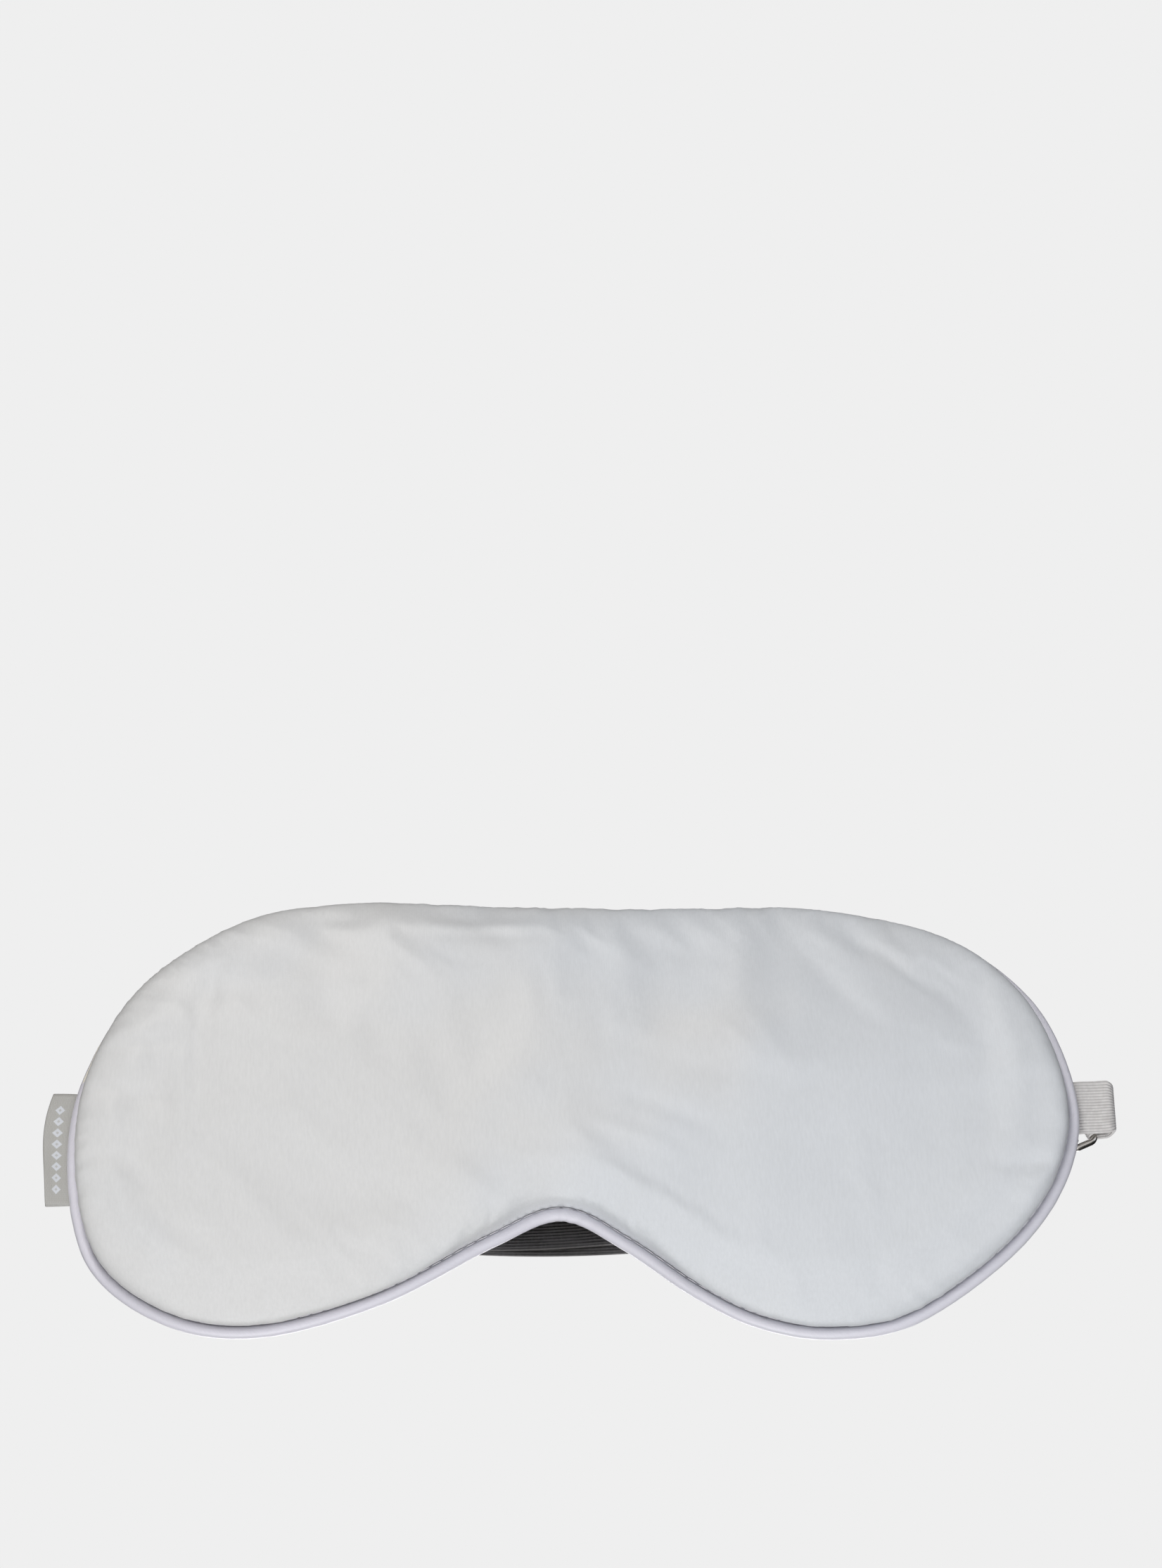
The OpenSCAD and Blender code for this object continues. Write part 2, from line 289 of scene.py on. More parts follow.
# %% Satin
def satin(name, warm, cool, float_mm=0.5, roughness=0.45, sheen=0.25, layout="Object", twist=0.0):
    """Woven satin whose colour drifts from warm on the left to cool on the right."""
    material, tree, shader = new_material(name, Roughness=roughness, IOR=1.45, Sheen_Weight=sheen,
        Sheen_Roughness=0.35, Specular_IOR_Level=0.45)
    where = add_node(tree, "TexCoord")
    turned = add_node(tree, "Mapping", {"Vector": where.outputs[layout], "Rotation": (0, 0, twist)})
    place = add_node(tree, "SeparateXYZ", {0: where.outputs["Object"]})
    drift = add_node(tree, "TexNoise", {"Vector": where.outputs["Object"], "Scale": 1 / (45 * MM), "Detail": 2.0})
    wander = add_node(tree, "Math", {0: drift.outputs["Fac"], 1: 0.34, 2: -0.17}, operation="MULTIPLY_ADD")
    across = add_node(tree, "Math", {0: place.outputs["X"], 1: wander}, operation="ADD")
    share = add_node(tree, "MapRange", {"Value": across, "From Min": -0.07, "From Max": 0.06, "To Min": 0.0,
        "To Max": 1.0}, interpolation_type="SMOOTHSTEP")
    base = add_node(tree, "Mix", {"Factor": share, 6: linear(warm), 7: linear(cool)}, data_type="RGBA")
    slubs = add_node(tree, "Mapping", {"Vector": turned, "Scale": (0.22, 1.0, 1.0)})
    slub = add_node(tree, "TexNoise", {"Vector": slubs, "Scale": 1 / (float_mm * MM), "Detail": 3.0,
        "Roughness": 0.6})
    tone = add_node(tree, "MapRange", {"Value": slub.outputs["Fac"], "From Min": 0.25, "From Max": 0.75,
        "To Min": 0.965, "To Max": 1.035})
    tinted = add_node(tree, "VectorMath", {0: base.outputs[2], "Scale": tone}, operation="SCALE")
    tree.links.new(tinted.outputs[0], shader.inputs["Base Color"])
    floats = add_node(tree, "TexBrick", {"Vector": turned, "Scale": 1 / MM, "Mortar Size": 0.06,
        "Mortar Smooth": 1.0, "Brick Width": 2.4, "Row Height": float_mm, "Color1": (1, 1, 1, 1),
        "Color2": (0.82, 0.82, 0.82, 1), "Mortar": (0, 0, 0, 1)})
    cloth = add_node(tree, "Math", {0: slub.outputs["Fac"], 1: 1.5, 2: floats.outputs["Color"]},
        operation="MULTIPLY_ADD")
    weave = add_node(tree, "Bump", {"Height": cloth, "Strength": 0.35, "Distance": 0.02 * MM})
    tree.links.new(weave.outputs[0], shader.inputs["Normal"])
    return material


front_satin = satin("woven_polyester_satin", "#d4d4d4", "#d0d3d7", twist=math.radians(87))
lining_satin = satin("charcoal_satin_lining", "#2c2c2f", "#292a2d", roughness=0.4)
piping_satin = satin("bias_cut_satin", "#d8d6df", "#d8d7e0", float_mm=0.3, roughness=0.34, sheen=0.3,
    layout="UV", twist=math.radians(45))

# %% [markdown]
# Braided elastic is a row of rubber cores, each wrapped in crimped polyester yarn. The cores make the ribs that
# run along the strap, and those are real geometry further down. The shader adds the crimp, short slanted lumps of
# yarn about 0.6 mm long, as bumps with a painted highlight that makes each lump top a small pale fleck. It also
# paints shade into the grooves between the ribs.

# %% Elastic
ELASTIC_W = 12 * MM
ELASTIC_T = 0.8 * MM
RIBS = 18
elastic, tree, shader = new_material("braided_ribbed_elastic", Roughness=0.72, IOR=1.5, Sheen_Weight=0.3,
    Sheen_Roughness=0.5)
where = add_node(tree, "TexCoord")
lumps = add_node(tree, "Mapping", {"Vector": where.outputs["UV"], "Rotation": (0, 0, math.radians(18)),
    "Scale": (1.0, 0.55, 1.0)})
crimp = add_node(tree, "TexVoronoi", {"Vector": lumps, "Scale": 1 / (0.6 * MM)}, feature="SMOOTH_F1")
soil = add_node(tree, "TexNoise", {"Vector": where.outputs["UV"], "Scale": 1 / (4 * MM), "Detail": 3.0})
# Painted highlight: each raised lump of crimp is painted paler at its top than at its edges, over a real bump.
fleck_painted_highlight = add_node(tree, "Mix", {"Factor": crimp.outputs["Distance"], 6: linear("#d6d4d3"), 7: linear("#c3c0bf")},
    data_type="RGBA")
uv = add_node(tree, "SeparateXYZ", {0: where.outputs["UV"]})
ribs = add_node(tree, "Math", {0: uv.outputs["Y"], 1: RIBS / ELASTIC_W}, operation="MULTIPLY")
crest = add_node(tree, "Math", {0: ribs, 1: 0.5}, operation="PINGPONG")
# Painted shade: the grooves between the ribs are painted darker, as if they lay in the ribs' shade.
groove_painted_shade = add_node(tree, "MapRange", {"Value": crest, "From Min": 0.28, "From Max": 0.5, "To Min": 0.0,
    "To Max": 0.55})
shaded = add_node(tree, "Mix", {"Factor": groove_painted_shade, 6: fleck_painted_highlight.outputs[2], 7: linear("#8f8c8b")}, data_type="RGBA")
patch = add_node(tree, "MapRange", {"Value": soil.outputs["Fac"], "To Min": 0.97, "To Max": 1.03})
tinted = add_node(tree, "VectorMath", {0: shaded.outputs[2], "Scale": patch}, operation="SCALE")
tree.links.new(tinted.outputs[0], shader.inputs["Base Color"])
lumpy = add_node(tree, "Bump", {"Height": crimp.outputs["Distance"], "Strength": 0.7, "Distance": 0.12 * MM},
    invert=True)
tree.links.new(lumpy.outputs[0], shader.inputs["Normal"])

# %% [markdown]
# The ring and the slider are bent from nickel-plated steel wire. Tumble polishing leaves faint scratches and a
# slightly uneven sheen, so only the roughness varies.

# %% Wire
wire, tree, shader = new_material("nickel_plated_wire", Metallic=1.0)
shader.inputs["Base Color"].default_value = linear("#c9c5c0")
where = add_node(tree, "TexCoord")
wear = add_node(tree, "TexNoise", {"Vector": where.outputs["Object"], "Scale": 1 / (1.2 * MM), "Detail": 4.0})
dull = add_node(tree, "MapRange", {"Value": wear.outputs["Fac"], "To Min": 0.14, "To Max": 0.38})
tree.links.new(dull.outputs[0], shader.inputs["Roughness"])

# %% [markdown]
# Sewing thread is spun and then twisted. The twist shows as fine slanted ridges, about three to a millimetre. The
# cotton cord is matt and cream with coarser ridges. The wadding is lofted fibre, white and woolly with no sheen,
# and the interlining is a dense black cloth that only has to swallow light. All four share one recipe.

# %% Thread and the hidden fillings
def spun(name, colour, pitch_mm, roughness, depth_mm):
    """Twisted or lofted fibre: slanted ridges over a slightly mottled colour."""
    material, tree, shader = new_material(name, Roughness=roughness, IOR=1.5, Sheen_Weight=0.3)
    where = add_node(tree, "TexCoord")
    slanted = add_node(tree, "Mapping", {"Vector": where.outputs["Object"], "Rotation": (0.4, 0.3, 0.7)})
    ridges = add_node(tree, "TexNoise", {"Vector": slanted, "Scale": 1 / (pitch_mm * MM), "Detail": 3.0})
    mottle = add_node(tree, "MapRange", {"Value": ridges.outputs["Fac"], "To Min": 0.88, "To Max": 1.08})
    tinted = add_node(tree, "VectorMath", {0: linear(colour)[:3], "Scale": mottle}, operation="SCALE")
    tree.links.new(tinted.outputs[0], shader.inputs["Base Color"])
    relief = add_node(tree, "Bump", {"Height": ridges.outputs["Fac"], "Strength": 0.6,
        "Distance": depth_mm * MM})
    tree.links.new(relief.outputs[0], shader.inputs["Normal"])
    return material


thread = spun("spun_polyester_thread", "#cfced3", 0.3, 0.6, 0.05)
cotton = spun("twisted_cotton_cord", "#e8e3d6", 0.6, 0.85, 0.1)
wadding_fibre = spun("lofted_polyester_wadding", "#f2f2f0", 2.5, 0.95, 0.4)
blackout_cloth = spun("dense_black_interlining", "#141414", 0.5, 0.9, 0.05)

# %% [markdown]
# ## Making meshes
# Three small tools do most of the work: one turns arrays into an object, one rounds a rough path with a spline,
# and one lays a flat ribbed ribbon along it. The ribbon takes the direction across it at every step, so it can
# turn.

# %% Mesh helpers
def new_piece(name, points, faces, material, uvs=None):
    """A smooth-shaded mesh object. uvs holds one pair for each point, in metres along and across the cloth."""
    mesh = bpy.data.meshes.new(name)
    mesh.from_pydata([tuple(p) for p in points], [], [tuple(f) for f in faces])
    if uvs is not None:
        layer = mesh.uv_layers.new(name="cloth")
        corners = np.zeros(len(mesh.loops), np.int32)
        mesh.loops.foreach_get("vertex_index", corners)
        layer.data.foreach_set("uv", np.asarray(uvs, np.float32)[corners].ravel())
    mesh.polygons.foreach_set("use_smooth", [True] * len(mesh.polygons))
    mesh.materials.append(material)
    mesh.validate()
    piece = bpy.data.objects.new(name, mesh)
    scene.collection.objects.link(piece)
    return piece


def grid_faces(rows, columns, close_rows=False, close_columns=False):
    """Quads over a grid of points, row after row."""
    faces = []
    for i in range(rows if close_rows else rows - 1):
        for j in range(columns if close_columns else columns - 1):
            k, m = (i + 1) % rows, (j + 1) % columns
            faces.append((i * columns + j, k * columns + j, k * columns + m, i * columns + m))
    return faces


def apply_modifiers(piece):
    """Replaces a piece's mesh with what its modifiers make of it."""
    shape = piece.evaluated_get(bpy.context.evaluated_depsgraph_get())
    finished = bpy.data.meshes.new_from_object(shape)
    piece.modifiers.clear()
    piece.data = finished
    return piece


def refine(path, step):
    """The same path with points about one step apart, rounded by a spline."""
    path = np.asarray(path, float)
    ends = np.vstack([2 * path[0] - path[1], path, 2 * path[-1] - path[-2]])
    pieces = []
    for a, b, c, d in zip(ends, ends[1:], ends[2:], ends[3:]):
        n = max(2, int(round(np.linalg.norm(c - b) / step)))
        t = (np.arange(n) / n)[:, None]
        pieces.append(catmull_rom(a, b, c, d, t))
    return np.vstack(pieces + [path[-1:]])


def ribbon(name, path, across, start_at=0.0, thick=ELASTIC_T, width=ELASTIC_W, narrow=None):
    """Ribbed elastic laid along a path. across is one direction, or one for each point, and so is narrow."""
    path = np.asarray(path, float)
    ahead = np.gradient(path, axis=0)
    ahead /= np.linalg.norm(ahead, axis=1)[:, None]
    across = np.broadcast_to(np.asarray(across, float), path.shape)
    across = across / np.linalg.norm(across, axis=1)[:, None]
    normal = np.cross(ahead, across)
    normal /= np.linalg.norm(normal, axis=1)[:, None]
    per_rib = 4
    v = np.linspace(-1, 1, RIBS * per_rib + 1)
    rib = np.abs(np.cos(v * RIBS * math.pi / 2)) ** 0.7
    edge = np.clip((1 - np.abs(v)) * RIBS * 1.6, 0, 1) ** 0.5
    half = thick / 2 * (0.58 + 0.42 * rib) * (0.35 + 0.65 * edge)
    section_v = np.concatenate([v, v[::-1]]) * width / 2
    section_n = np.concatenate([half, -half[::-1]])
    share = np.ones(len(path)) if narrow is None else narrow
    points = (path[:, None, :] + across[:, None, :] * section_v[None, :, None] * share[:, None, None]
        + normal[:, None, :] * section_n[None, :, None])
    rows, columns = points.shape[:2]
    faces = grid_faces(rows, columns, close_columns=True)
    faces = [f[::-1] for f in faces]
    faces.append(tuple(range(columns)))
    faces.append(tuple(range((rows - 1) * columns, rows * columns))[::-1])
    along = start_at + np.concatenate([[0], np.cumsum(np.linalg.norm(np.diff(path, axis=0), axis=1))])
    uvs = np.stack(np.broadcast_arrays(along[:, None], section_v[None, :]), axis=-1).reshape(-1, 2)
    piece = new_piece(name, points.reshape(-1, 3), faces, elastic, uvs)
    print(name, "length, mm:", round((along[-1] - start_at) / MM, 1))
    return piece


# %% [markdown]
# ## The pad
# A sewn pad is two flat panels joined round the edge and stuffed. It could be carved as one smooth pillow, but
# then the seam would look moulded. Instead the two panels are cut, sewn at the rim, given 3% of extra cloth and
# blown up by the cloth solver. The extra cloth has nowhere to go at the fixed rim, so it gathers into the small
# folds that a real seam has. The wadding is about as thick everywhere, so most of the solver's swell is taken out
# again and its fine folds are kept at about half their depth. The overall shape stays that of the CAD pad.

# %% Cut the panel
GRID = 2.4 * MM


def to_seam(points):
    """Distance of each point from the seam line."""
    a, b = seam_line, np.roll(seam_line, -1, axis=0)
    run = b - a
    best = np.full(len(points), 1.0)
    for start, step in zip(a, run):
        t = np.clip(((points - start) @ step) / (step @ step), 0, 1)
        best = np.minimum(best, np.linalg.norm(points - start - t[:, None] * step, axis=1))
    return best


def inside(points):
    """Which points lie within the seam line."""
    a, b = seam_line, np.roll(seam_line, -1, axis=0)
    x, y = points[:, :1], points[:, 1:]
    crosses = (a[:, 1] > y) != (b[:, 1] > y)
    at = a[:, 0] + (y - a[:, 1]) / np.where(b[:, 1] == a[:, 1], 1, b[:, 1] - a[:, 1]) * (b[:, 0] - a[:, 0])
    return (crosses & (x < at)).sum(axis=1) % 2 == 1


xs = np.arange(-106 * MM, 106 * MM, GRID)
ys = np.arange(-52 * MM, 52 * MM, GRID)
lattice = np.stack(np.meshgrid(xs, ys), axis=-1).reshape(-1, 2)
lattice = lattice[inside(lattice)]
RIM_ROWS = [0.8 * MM, 1.9 * MM, 3.4 * MM]
lattice = lattice[to_seam(lattice) > RIM_ROWS[-1] + 0.55 * GRID]
rim_rows = [seam_line - outward(seam_line) * inset for inset in RIM_ROWS]
flat = np.vstack([seam_line, *rim_rows, lattice])
cut = geometry.delaunay_2d_cdt([Vector(p) for p in flat], [], [list(range(RIM_POINTS))], 1, 1e-7)
flat = np.array([tuple(p) for p in cut[0]])
triangles = [tuple(f) for f in cut[2]]
rim_distance = to_seam(flat)
on_rim = rim_distance < 1e-6
print("panel:", len(flat), "points,", int(on_rim.sum()), "on the rim,", len(triangles), "triangles")

# %% Swell and sag of the pad before it is sewn
FRONT_RISE = 6.7 * MM
BACK_RISE = 1.0 * MM
EDGE_WIDTH = 9.5 * MM


def tuck(directions):
    """How far the piping is tucked under the pad: fully at the upper left, not at all at the lower right."""
    return np.clip(directions @ np.array([-0.5, 0.87]), 0, 1)


def swell(distance, width, power):
    """Share of the full loft at a distance from the seam: steep at the rim, then level."""
    level = 1 - np.clip(distance / width, 0, 1)
    return (1 - level**power) ** (1 / power)


nearest = np.argmin(((flat[:, None, :] - seam_line[None, :, :]) ** 2).sum(axis=2), axis=1)
outwards = outward(seam_line)[nearest]
tucked = tuck(outwards)
ramp = np.clip(rim_distance / RIM_ROWS[0], 0, 1)
sag = seam_z(flat[:, 0], flat[:, 1]) - 0.5 * MM * tucked * np.clip(1 - rim_distance / (6 * MM), 0, 1)
# The two cheek lobes, which bulge furthest over the piping, but not the nose notch between them
cheek = np.clip(-outwards[:, 1], 0, 1) * (1 - np.exp(-(np.abs(flat[:, 0] + 4 * MM) / (22 * MM)) ** 4))
front_z = sag + 0.3 * MM * ramp + FRONT_RISE * swell(rim_distance, EDGE_WIDTH, 2.5 - 0.9 * cheek)
back_z = sag - 0.5 * MM * ramp - BACK_RISE * swell(rim_distance, 8 * MM, 2)
# How far the front stands out over the piping, in mm: everywhere, where it is tucked, and at the cheeks
overhang = (1.3 + 0.6 * tucked + 1.4 * cheek) * MM * np.sin(np.pi * np.clip(rim_distance / (5.5 * MM), 0, 1) ** 0.75)
front_xy = flat + outwards * overhang[:, None]
count = len(flat)
back_index = np.where(on_rim, np.arange(count), np.arange(count) + count)
rest_shape = np.vstack([np.column_stack([front_xy, front_z]), np.column_stack([flat, back_z])])
pad_faces = triangles + [tuple(int(back_index[i]) for i in f[::-1]) for f in triangles]
print("pad before it is blown up, mm thick:", round(float((front_z - back_z).max()) / MM, 1))

# %% Sew and blow up the pad
CLOTH_FRAMES = 24
EXTRA_CLOTH = 0.03


def blow_up(points, faces, pinned):
    """Runs the cloth solver on the sewn pad and returns where its points end up."""
    blank = new_piece("pad_blank", points, faces, front_satin)
    rim = blank.vertex_groups.new(name="rim")
    rim.add([int(i) for i in pinned], 1.0, "REPLACE")
    solver = blank.modifiers.new("sewing", "CLOTH")
    cloth = {"quality": 6, "mass": 0.1, "tension_stiffness": 25, "compression_stiffness": 25,
        "shear_stiffness": 12, "bending_stiffness": 0.02, "use_pressure": True, "uniform_pressure_force": 4,
        "shrink_min": -EXTRA_CLOTH, "shrink_max": -EXTRA_CLOTH, "vertex_group_mass": "rim"}
    for setting, value in cloth.items():
        setattr(solver.settings, setting, value)
    solver.settings.effector_weights.gravity = 0
    solver.collision_settings.use_collision = False
    solver.point_cache.frame_start = 1
    solver.point_cache.frame_end = CLOTH_FRAMES
    for step in range(1, CLOTH_FRAMES + 1):
        scene.frame_set(step)
    shape = blank.evaluated_get(bpy.context.evaluated_depsgraph_get())
    result = np.zeros(len(points) * 3)
    shape.data.vertices.foreach_get("co", result)
    scene.frame_set(1)
    bpy.data.objects.remove(blank)
    return result.reshape(-1, 3)


def smoothed(values, faces, rounds):
    """Values averaged with their neighbours, round after round."""
    edges = np.array([(f[i], f[(i + 1) % len(f)]) for f in faces for i in range(len(f))])
    links = np.bincount(edges.ravel(), minlength=len(values)).astype(float)
    links[links == 0] = 1
    values = values.copy()
    for _ in range(rounds):
        total = np.zeros_like(values)
        np.add.at(total, edges[:, 0], values[edges[:, 1]])
        np.add.at(total, edges[:, 1], values[edges[:, 0]])
        values = 0.5 * values + 0.5 * total / links[:, None]
    return values


pinned = np.flatnonzero(on_rim)
moved = blow_up(rest_shape, pad_faces, pinned) - rest_shape
moved[count:][on_rim] = 0
print("solver moved the cloth by up to, mm:", round(float(np.abs(moved).max()) / MM, 2))

# %% Keep the folds, hold back the swell
SWELL_KEPT, FOLDS_KEPT = 0.1, 0.45
broad = smoothed(moved, pad_faces, 60)
folds = moved - broad
pad_shape = rest_shape + SWELL_KEPT * broad + FOLDS_KEPT * folds
print("folds, mm:", round(float(np.abs(folds).max()) / MM, 2))

# %% [markdown]
# The solver's folds are the crisp ones. Handling adds softer marks that no short simulation gives: broad dents
# where the wadding has shifted, creases that run in from the two strap ends, and fine gathers where the machine
# fed one layer faster than the other. They are drawn one by one, each crease as a start, an end, a width and a depth
# in millimetres.

# %% Dents, creases and gathers
CREASES = [(-103, 8.6, -78, 10.5, 1.8, -0.5), (-102, 11.5, -72, 17, 3.0, 0.35), (-102, 1.0, -82, -4.5, 2.4, -0.6),
    (-101, -6, -76, -13, 2.6, 0.35), (-98, -14, -80, -27, 2.2, -0.35), (-92, 24, -62, 20, 3.4, -0.35),
    (-70, 42, -48, 26, 3.6, 0.4), (-38, 47, -12, 33, 2.6, -0.4), (-52, 46, -34, 36, 2.2, 0.3),
    (-30, -27, -58, -14, 3.6, -0.35), (-20, -24, -46, -4, 4.5, 0.4), (8, -2, 31, -13, 1.9, -0.4),
    (3, -8, 22, -17, 1.8, 0.35), (14, 5, 46, -2, 3.4, -0.3), (24, 45, 34, 32, 1.8, -0.3),
    (36, 46, 40, 35, 1.4, 0.3), (55, 45, 60, 30, 2.2, -0.3), (101, -14, 83, -16.5, 1.3, -0.7),
    (99, -17.5, 86, -23, 1.3, 0.5), (97, 8, 72, 2, 3.2, 0.35), (60, -44, 62, -26, 2.4, -0.3),
    (44, -44, 42, -30, 2.0, 0.25), (92, -24, 74, -30, 2.2, -0.35), (-66, -45, -62, -30, 2.4, -0.3)]
CREASE_DEPTH = 0.8         # all of the creases together, made a little shallower
# Dents of three sizes: along x and y in metres, seed, and depth in millimetres
DENTS = [(0.034, 0.026, 1.7, 0.62), (0.015, 0.012, 5.2, 0.22), (0.006, 0.007, 8.4, 0.05)]
GATHER_MM = 0.45
GATHER_LENGTH = 4.5 * MM


def soft_step(t):
    """Rises smoothly from 0 to 1."""
    t = np.clip(t, 0, 1)
    return t * t * (3 - 2 * t)


def marks(points):
    """How far the cloth stands out or in at each point, in metres."""
    depth = np.zeros(len(points))
    for x0, y0, x1, y1, width, height in CREASES:
        start, run = np.array([x0, y0]) * MM, np.array([x1 - x0, y1 - y0]) * MM
        t = ((points - start) @ run) / (run @ run)
        bend = 0.05 * np.sin(2.5 * t) * np.linalg.norm(run)
        off = ((points - start) @ np.array([-run[1], run[0]])) / np.linalg.norm(run) - bend
        fade = soft_step((t + 0.15) / 0.3) * soft_step((1.1 - t) / 0.6)
        depth += CREASE_DEPTH * height * MM * fade * np.exp(-(off / (width * MM)) ** 2)
    inset = to_seam(points)
    for i, (x, y) in enumerate(points):
        dent = sum(noise.noise((x / wide, y / deep, seed)) * mm for wide, deep, seed, mm in DENTS)
        angle = math.atan2(y - 0.008, x + 0.002)
        feed = 0.35 + 0.65 * max(0.0, noise.noise((angle * 3, 0.5, 2.2)) * 2)
        gather = noise.noise((angle * 46, 3.3, inset[i] / 0.02)) * GATHER_MM * feed
        gather *= math.exp(-inset[i] / GATHER_LENGTH) * min(1.0, inset[i] / 0.0006)
        # The seam holds the cloth, so every mark fades out before it
        depth[i] = depth[i] * min(1.0, inset[i] / 0.003) + (dent * min(1.0, inset[i] / 0.012) + gather) * MM
    return depth


# %% Panels from the pad
SATIN_T = 0.35 * MM


def sheet_piece(name, start, order, material, offset, thick, keep=None):
    """One side of the pad as a closed cloth of real thickness, grown inwards."""
    points = pad_shape[start:start + count].copy()
    points[on_rim] = pad_shape[:count][on_rim]
    points[:, 2] += offset
    faces = [f[::order] for f in triangles if keep is None or all(keep[i] for i in f)]
    piece = new_piece(name, points, faces, material, points[:, :2])
    if keep is None:
        rounder = piece.modifiers.new("rounder", "SUBSURF")
        rounder.levels = rounder.render_levels = 1
        apply_modifiers(piece)
    if start == 0:
        place = np.zeros(len(piece.data.vertices) * 3)
        piece.data.vertices.foreach_get("co", place)
        place = place.reshape(-1, 3)
        normals = np.array([v.normal for v in piece.data.vertices])
        place += normals * marks(place[:, :2])[:, None]
        piece.data.vertices.foreach_set("co", place.ravel())
    solid = piece.modifiers.new("cloth", "SOLIDIFY")
    solid.thickness = thick
    solid.offset = -1
    return apply_modifiers(piece)


front_piece = sheet_piece("front_panel_satin", 0, 1, front_satin, 0, SATIN_T)
print("front panel:", len(front_piece.data.vertices), "points")
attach(front_piece, "mask")
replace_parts(front_piece, "front_panel")


def cut_size(points, faces):
    """Depth, width and area of the flat cut that these faces were made from."""
    flat = np.asarray(points)[:, :2]
    corners = flat[np.array(faces)]
    first, second = corners[:, 1] - corners[:, 0], corners[:, 2] - corners[:, 0]
    area = np.abs(first[:, 0] * second[:, 1] - first[:, 1] * second[:, 0]).sum() / 2
    width, depth = np.ptp(flat[np.unique(faces)], axis=0)
    print("cut size, mm:", round(depth / MM, 1), round(width / MM, 1), "area, cm2:", round(area * 1e4, 1))
    return (float(depth), float(width)), float(area)


lining_piece = sheet_piece("back_lining_satin", count, -1, lining_satin, 0, SATIN_T)
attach(lining_piece, "mask")
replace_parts(lining_piece, "back_lining")
lining_flat, lining_area = cut_size(pad_shape[:count], triangles)

TRIM = 4 * MM              # the fillings stop this far from the seam
ABOVE_SATIN, INTERLINING_T = 0.45 * MM, 0.3 * MM
well_inside = rim_distance > TRIM
blackout_piece = sheet_piece("blackout_interlining", count, -1, blackout_cloth, ABOVE_SATIN, INTERLINING_T,
    well_inside)
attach(blackout_piece, "mask")
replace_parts(blackout_piece, "blackout_layer")
inner = [f for f in triangles if all(well_inside[i] for i in f)]
blackout_flat, blackout_area = cut_size(pad_shape[:count], inner)

# %% [markdown]
# Wadding is never seen, but it carries the shape. It fills the space between the interlining and the front, a
# little short of the seam, as a pad-maker would trim it.

# %% Wadding
BELOW_FRONT = 0.75 * MM
ABOVE_LINING = 0.85 * MM
pad_top = pad_shape[:count].copy()
pad_top[:, 2] += np.minimum(marks(pad_top[:, :2]), 0) - BELOW_FRONT
pad_bottom = pad_shape[count:].copy()
pad_bottom[:, 2] += ABOVE_LINING
edge_use = [(f[i], f[(i + 1) % 3]) for f in inner for i in range(3)]
both_ways = set(edge_use)
walls = [(a, b) for a, b in edge_use if (b, a) not in both_ways]
wadding_faces = (inner + [tuple(i + count for i in f[::-1]) for f in inner]
    + [(b, a, a + count, b + count) for a, b in walls])
used = sorted({i for f in wadding_faces for i in f})
renumber = {old: new for new, old in enumerate(used)}
wadding_piece = new_piece("wadding_pad", np.vstack([pad_top, pad_bottom])[used],
    [tuple(renumber[i] for i in f) for f in wadding_faces], wadding_fibre)
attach(wadding_piece, "mask")
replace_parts(wadding_piece, "wadding")
print("wadding walls:", len(walls))

# %% [markdown]
# ## Piping
# Piping is a bias-cut strip folded round a cord and caught in the seam. Bias cloth stretches round the outside of
# a bend and crowds on the inside, so it shows faint slanted creases everywhere and a few real puckers at the tip
# of the nose notch. A flange runs into the seam behind the tube, so no light leaks through between the panels.

# %% Piping
PIPING_R = 1.27 * MM
FLANGE = 3.6 * MM
SECTION = 18               # points round the tube
PIPING_POINTS = 900
fine_line = even_steps(spline(OUTLINE, 40), PIPING_POINTS)
fine_out = outward(fine_line)
along = np.arange(PIPING_POINTS) * seam_length / PIPING_POINTS
opening = math.radians(158)        # the tube stays open towards the seam
angles = np.linspace(opening, -opening, SECTION)
from_notch = np.minimum(along, seam_length - along)
crowding = np.exp(-(from_notch / (7 * MM)) ** 2)
points, uvs = [], []
for i in range(PIPING_POINTS):
    x, y = fine_line[i]
    hidden = float(tuck(fine_out[i]))
    out = np.array([fine_out[i][0], fine_out[i][1], 0.0])
    base = np.array([x, y, seam_z(x, y)]) - hidden * MM * (0.9 * out + np.array([0, 0, 0.7]))
    for angle in angles:
        slant = along[i] + angle * PIPING_R
        crease = noise.noise((slant / (2.6 * MM), angle * 0.5, 3.0)) * 0.035
        pucker = noise.noise((along[i] / (1.5 * MM), angle, 9.0)) * 0.13 * crowding[i]
        radius = PIPING_R * (1 + crease + pucker + 0.1 * crowding[i])
        points.append(base + radius * (math.cos(angle) * out + math.sin(angle) * np.array([0, 0, 1.0])))
        uvs.append((along[i], angle * PIPING_R))
    for lift in (-0.2 * MM, 0.2 * MM):
        edge = fine_line[i] - fine_out[i] * FLANGE
        points.append(np.array([edge[0], edge[1], seam_z(*edge) + lift]))
        uvs.append((along[i], FLANGE + 1.3 * MM))
columns = SECTION + 2
piping_piece = new_piece("bias_piping", points, grid_faces(PIPING_POINTS, columns, True, True), piping_satin, uvs)
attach(piping_piece, "mask")
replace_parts(piping_piece, "piping_cover")
print("piping:", len(points), "points")

# %% [markdown]
# ## Seam stitches
# The lockstitch sits deep in the crease between the front and the piping. Each stitch is a short bead of thread
# about 2 mm long that dips into the cloth at both ends.

# %% Seam stitches
STITCH_PITCH = 2.6 * MM
THREAD_R = 0.13 * MM


